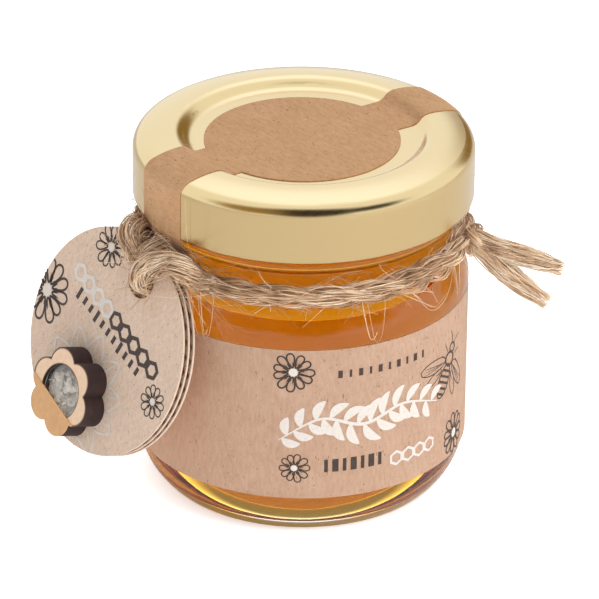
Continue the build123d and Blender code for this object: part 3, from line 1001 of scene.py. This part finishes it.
# %% Helpers for lines and threads
def threads(name, lines, thickness):
    """Thin round threads, one for each line of (point, relative thickness), as one mesh object."""
    curve = bpy.data.curves.new(name, "CURVE")
    curve.dimensions = "3D"
    curve.bevel_depth = thickness * MM / 2
    curve.bevel_resolution = 0
    curve.use_fill_caps = True
    for line in lines:
        spline = curve.splines.new("POLY")
        spline.points.add(len(line) - 1)
        spline.points.foreach_set("co", [c for point, _ in line for c in (*point, 1.0)])
        spline.points.foreach_set("radius", [r for _, r in line])
    holder = bpy.data.objects.new(name, curve)
    scene.collection.objects.link(holder)
    seen = holder.evaluated_get(bpy.context.evaluated_depsgraph_get())
    mesh = bpy.data.meshes.new_from_object(seen)
    bpy.data.objects.remove(holder)
    mesh.shade_smooth()
    return placed(name, mesh)


def framed(line, side=None):
    """The points of a line, each with two directions across it that don't twist."""
    rows = []
    for i, point in enumerate(line):
        run = (line[min(i + 1, len(line) - 1)] - line[max(i - 1, 0)]).normalized()
        if side is None:
            side = run.orthogonal().normalized()
        side = (side - run * side.dot(run)).normalized()
        rows.append((point, side, run.cross(side)))
    return rows


def resampled(points, spacing):
    """Evenly spaced points along the smooth curve through some points."""
    fine = [through(points, i / 400) for i in range(401)]
    length = sum((b - a).length for a, b in zip(fine, fine[1:]))
    count = max(4, int(length / (spacing * MM)))
    out, travelled, want = [fine[0]], 0.0, 1
    for a, b in zip(fine, fine[1:]):
        step = (b - a).length
        while want <= count and travelled + step >= length * want / count:
            out.append(a.lerp(b, (length * want / count - travelled) / step))
            want += 1
        travelled += step
    return out


# %% [markdown]
# ## Fibres and hairs
# A fibre turns round its ply, and the ply round the twine. Each has its own start, depth and drift, and
# noise lets it wander and lift off. A hair leaves the surface, curls and sags, and is kept off the glass.

# %% Helpers for fibres and hairs
PLY_OUT = 0.24
PLY_RADIUS = 0.29
INNERMOST = 0.35
LOOSER_THAN_PLY = 1.4
WANDER = 1.1
LIFT = 0.275


def bundle(line, width, plies, per_ply, lay, seed, swell=even(1.0), flat=1.0, first=None, ragged=0.0):
    """The fibres of a stretch of twine, as lines for threads()."""
    chance = random.Random(seed)
    rows = framed(line, first)
    gaps = [0.0]
    for a, b in zip(line, line[1:]):
        gaps.append(gaps[-1] + (b - a).length / MM)
    total = gaps[-1]
    lines = []
    for ply in range(plies):
        ply_out = 0.0 if plies == 1 else width * PLY_OUT
        ply_size = width / 2 if plies == 1 else width * PLY_RADIUS
        for k in range(per_ply):
            start = chance.uniform(0, math.tau)
            depth = ply_size * math.sqrt(chance.uniform(INNERMOST, 1.0))
            drift = chance.uniform(0, 1000)
            end = len(rows) - int(len(rows) * ragged * chance.random() ** 1.5)
            fibre = []
            for i in range(end):
                s = gaps[i]
                grow = swell(s / total)
                wander = noise.noise(Vector((s / 7, drift, seed)))
                ripple = noise.noise(Vector((s / 4, drift + 50, seed)))
                lift = max(0.0, ripple - 0.25) * LIFT
                turn = start - math.tau * s / (lay * LOOSER_THAN_PLY) + wander * WANDER
                ply_turn = math.tau * (ply / plies + s / lay)
                reach = (depth + lift * width) * grow
                x = ply_out * grow * math.cos(ply_turn) + reach * math.cos(turn)
                y = (ply_out * grow * math.sin(ply_turn) + reach * math.sin(turn)) * flat
                point, a, b = rows[i]
                thin = 0.75 + 0.5 * noise.noise(Vector((s / 5, drift + 99, 0)))
                fibre.append((point + (a * x + b * y) * MM, thin))
            if len(fibre) > 3:
                fibre[0] = (fibre[0][0], 0.3)
                fibre[-1] = (fibre[-1][0], 0.3)
                lines.append(fibre)
    return lines


def keep_off(point):
    """Moves a point out of the jar and the lid, if it lies in them."""
    r = math.hypot(point.x, point.y) / MM
    z = point.z / MM
    wall = WALL_PROFILE[-1][1]
    for (low, r_low), (high, r_high) in zip(WALL_PROFILE, WALL_PROFILE[1:]):
        if low <= z < high:
            wall = r_low + (r_high - r_low) * (z - low) / (high - low)
    if r < wall + WALL_GAP:
        push = (wall + WALL_GAP) / r
        return Vector((point.x * push, point.y * push, point.z))
    return point


def hairs(line, width, count, longest, seed, free=True):
    """Loose hairs that leave the twine's surface and curl."""
    chance = random.Random(seed)
    rows = framed(line)
    lines = []
    for k in range(count):
        i = chance.randrange(len(rows))
        point, a, b = rows[i]
        run = a.cross(b)
        turn = chance.uniform(0, math.tau)
        out = a * math.cos(turn) + b * math.sin(turn)
        at = point + out * (width / 2 * 0.95 * MM)
        along = run * chance.choice((-1, 1)) * chance.uniform(0.4, 1.2)
        go = (along + out * chance.uniform(0.1, 0.7)).normalized()
        curl = Vector([chance.gauss(0, 1) for _ in range(3)]).normalized()
        length = chance.uniform(1.2, longest) * (1 if chance.random() < 0.8 else 1.8)
        steps = max(6, int(length / 0.7))
        bend = chance.uniform(0.15, 0.9) / steps
        hair = []
        for j in range(steps + 1):
            if j > 1 and abs(at.y) > HAIR_LIMIT * MM:
                break
            thin = chance.uniform(0.8, 1.2) * (1 - 0.5 * j / steps)
            hair.append((keep_off(at) if free else at, thin))
            at = at + go * (length / steps * MM)
            go = (go + curl * bend * 2 + Vector((0, 0, -SAG / steps))).normalized()
        lines.append(hair)
    return lines


# %% [markdown]
# ## One piece of twine
# Fibres alone would leave gaps to look through, so a plain core fills the middle. Its mesh, the fibres'
# and the hairs' are joined, because a piece is one object.


# %% Helpers for a piece of twine
def join(name, pieces):
    """Several mesh objects made one."""
    bm = bmesh.new()
    for piece in pieces:
        bm.from_mesh(piece.data)
        bpy.data.objects.remove(piece)
    mesh = bpy.data.meshes.new(name)
    bm.to_mesh(mesh)
    bm.free()
    mesh.shade_smooth()
    return placed(name, mesh)


def twine_piece(name, bundles, core_line, core_size, loose=(), replaces=(), finish=jute):
    """Joins bundles of fibres, a core that fills them and loose hairs to one piece of twine."""
    parts = [threads("fibres", fibres, FIBRE) for fibres in bundles]
    parts.append(threads("core", [core_line], core_size))
    if loose:
        parts.append(threads("hairs", loose, HAIR))
    return finish_piece(join(name, parts), "twine", finish, replaces=replaces)


def evenly(line):
    """A line whose thickness stays the same."""
    return [(point, 1.0) for point in line]


# %% [markdown]
# ## Twine round the neck
# The twine lies in the groove under the lid. It is three plies of thirty fibres over a core. It opens
# up in front of the knot, and a few long hairs have come loose and hang down in loops.

# %% Twine round the neck
TWINE = 2.6
TWINE_START = -64.0
TWINE_END = 248.0
NECK_STEPS = 170

neck_low, neck_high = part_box("twine_neck")
twine_z = (neck_low.z + neck_high.z) / 2 / MM
twine_r = neck_high.y / MM - TWINE / 2


def by_neck(bearing, out=0.0, up=0.0):
    """A point at a bearing, out from the twine's ring and up from it in millimetres."""
    return around(bearing, twine_r + out, twine_z + up)


neck_line = [
    by_neck(TWINE_START + (TWINE_END - TWINE_START) * i / NECK_STEPS, 0.1) for i in range(NECK_STEPS + 1)
]


def looser(t):
    """The twine opens up in front of the knot."""
    return 1.0 + 0.28 * math.exp(-(((t - 0.27) / 0.06) ** 2))


def hanging(start, end, low, seed):
    """A long loose hair that hangs from the twine in a loop."""
    chance = random.Random(seed)
    lines = []
    for k in range(2):
        a, b = start + chance.uniform(-1, 1), end + chance.uniform(-1, 1)
        half_way = (twine_z + low) / 2
        route = [
            by_neck(a, 1.2, -0.6),
            around(a + (b - a) * 0.12, twine_r + 1.4, half_way + 0.6),
            around(a + (b - a) * 0.45, twine_r + 1.5, low + 0.5 * k),
            around(a + (b - a) * 0.8, twine_r + 1.5, low + 0.8 + 0.5 * k),
            around(b, twine_r + 1.3, half_way + 1.4),
            by_neck(b - (b - a) * 0.1, 1.2, -0.5),
        ]
        stop = 1.0 if k == 0 else 0.6
        lines.append([(keep_off(through(route, stop * i / 30)), 1.0) for i in range(31)])
    return lines


loose_hairs = hairs(neck_line, 2.7, 560, 5.0, 42)
for loop in ((-66, -61, 28.9, 1), (-8.5, -2, 29.4, 2), (9, 31, 31.2, 3), (33, 37, 31.0, 4)):
    loose_hairs += hanging(*loop)
neck_fibres = bundle(neck_line, 2.9, 3, 30, 17, 41, looser)
neck_core = [(p, looser(i / NECK_STEPS)) for i, p in enumerate(neck_line)]
twine_piece("neck_twine", [neck_fibres], neck_core, TWINE * 0.62, loose_hairs, ["twine_neck"])

# %% [markdown]
# ## Twine at the tag
# From the neck the twine runs over the tag's face and through its hole, as a loose roll of fibres. A
# loop stands up behind the hole, a thinner strand leads back to the neck, and a last stretch passes
# behind the tag. Each is a smooth curve through a few points, some on the tag and some by the neck.

# %% Twine at the tag
def tag_route(*places):
    """Points of a route over the tag, each a place right, up and out in millimetres."""
    return [on_tag(*place) for place in places]


def hump(t):
    """How far a place along the loop lies in its thick part."""
    return math.exp(-(((t - 0.33) / 0.24) ** 2))


over = tag_route((11.6, 14.9, 1.3), (9.3, 14.4, 1.6), (7.2, 13.6, 1.6), (5.4, 12.2, 1.6))
into_hole = tag_route((4.8, 10.6, 1.3), (4.8, 9.9, 0.2), (4.7, 10.0, -1.6))
roll_line = resampled([by_neck(-62, 0.1), by_neck(-68, 0.7, 0.2)] + over + into_hole, 0.45)
roll = bundle(roll_line, 2.8, 1, 130, 22, 51, lambda t: 0.95 + 0.4 * math.sin(math.pi * t) ** 2)
roll_hairs = hairs(roll_line, 3.1, 170, 6.5, 52)
twine_piece("tag_roll_twine", [roll], evenly(roll_line), 1.7, roll_hairs, ["twine_strand_front"])

over = tag_route((0.9, 14.6, -2.0), (0.9, 16.1, -1.0), (1.0, 16.5, 0.4), (1.2, 15.6, 1.5))
into_hole = tag_route((1.9, 14.2, 1.3), (2.6, 12.8, 0.8), (3.0, 11.6, -0.4), (3.2, 11.2, -1.8))
loop_line = resampled(over + into_hole, 0.4)
up_side = tag_route((3.2, 11.3, -1.2), (3.0, 12.8, 0.7), (4.0, 14.5, 0.9), (5.4, 15.8, 0.4))
to_neck = tag_route((7.0, 16.4, -0.8)) + [by_neck(-68, 0.6, 1.2), by_neck(-62, 0.2, 0.6)]
side_line = resampled(up_side + to_neck, 0.4)
loop = bundle(loop_line, 2.9, 1, 120, 24, 61, lambda t: 0.55 + 0.85 * hump(t))
side = bundle(side_line, 1.7, 1, 45, 20, 62, lambda t: 0.6 + 0.7 * math.sin(math.pi * t))
loop_core = [(p, 0.6 + 0.5 * hump(i / len(loop_line))) for i, p in enumerate(loop_line)]
loop_hairs = hairs(loop_line + side_line, 2.7, 140, 5.5, 63)
twine_piece("tag_loop_twine", [loop, side], loop_core, 1.9, loop_hairs, ["twine_strand_top"])

off_tag = tag_route((4.0, 10.6, -1.4), (3.4, 10.9, -3.0))
behind_line = resampled(off_tag + [by_neck(-96, 0, -0.2), by_neck(-104), by_neck(-112, 0.1)], 0.5)
behind = bundle(behind_line, 2.1, 1, 50, 20, 71)
twine_piece("tag_back_twine", [behind], evenly(behind_line), 1.5)

# %% [markdown]
# ## Knot and cut ends
# The knot's line is a trefoil, the simplest knot there is, drawn with sines. Two short ends hang from
# it. Where twine is cut and combed out its fibres lie side by side, each with its own length.

# %% Knot and cut ends
KNOT_BEARING = 51.0
TAIL_BEARING = 50.0
KNOT_OUT = 1.6
KNOT_SIZE = 0.48
knot_middle = by_neck(KNOT_BEARING, KNOT_OUT)
radial = around(KNOT_BEARING, 1, 0) / MM
sideways = around(KNOT_BEARING + 90, 1, 0) / MM
upright = Vector((0, 0, 1))


def trefoil(t):
    """A point on the knot's closed line, which passes over and under itself three times."""
    a = math.tau * t
    x = math.sin(a) + 2 * math.sin(2 * a)
    y = math.cos(a) - 2 * math.cos(2 * a)
    z = -math.sin(3 * a)
    return knot_middle + (sideways * x + upright * y + radial * z) * (KNOT_SIZE * MM)


knot_line = [trefoil(i / 60) for i in range(61)]
knot = bundle(knot_line, 1.7, 1, 60, 14, 81)
knot_hairs = hairs(knot_line, 1.7, 40, 3.5, 82)
twine_piece("twine_knot_fibres", [knot], evenly(knot_line), 1.1, knot_hairs, ["twine_knot"])


def fanned(t):
    """A cut end widens, and narrows again at its tip."""
    return 0.75 + 0.35 * math.sin(math.pi * min(1, t * 1.1))


def cut_end(name, points, seed, replaces):
    """One free end of the twine: a flat bundle of combed fibres, ragged where it was cut."""
    line = resampled([by_neck(TAIL_BEARING, out, up) for out, up in points], 0.5)
    fibres = bundle(line, 2.9, 1, 130, 60, seed, fanned, flat=0.55, first=upright, ragged=0.16)
    core = evenly(line[: int(len(line) * 0.8)])
    loose = hairs(line, 2.4, 26, 5.0, seed + 1, free=False)
    return twine_piece(name, [fibres], core, 1.2, loose, replaces, jute_painted_lighter)


cut_end("upper_cut_end", [(1.6, 0.8), (4.4, -0.6), (9.2, -1.9), (13.9, -3.0)], 91, ["twine_tail_upper"])
cut_end("lower_cut_end", [(1.6, -0.4), (4.0, -2.4), (8.2, -5.9), (12.0, -8.4)], 95, ["twine_tail_lower"])
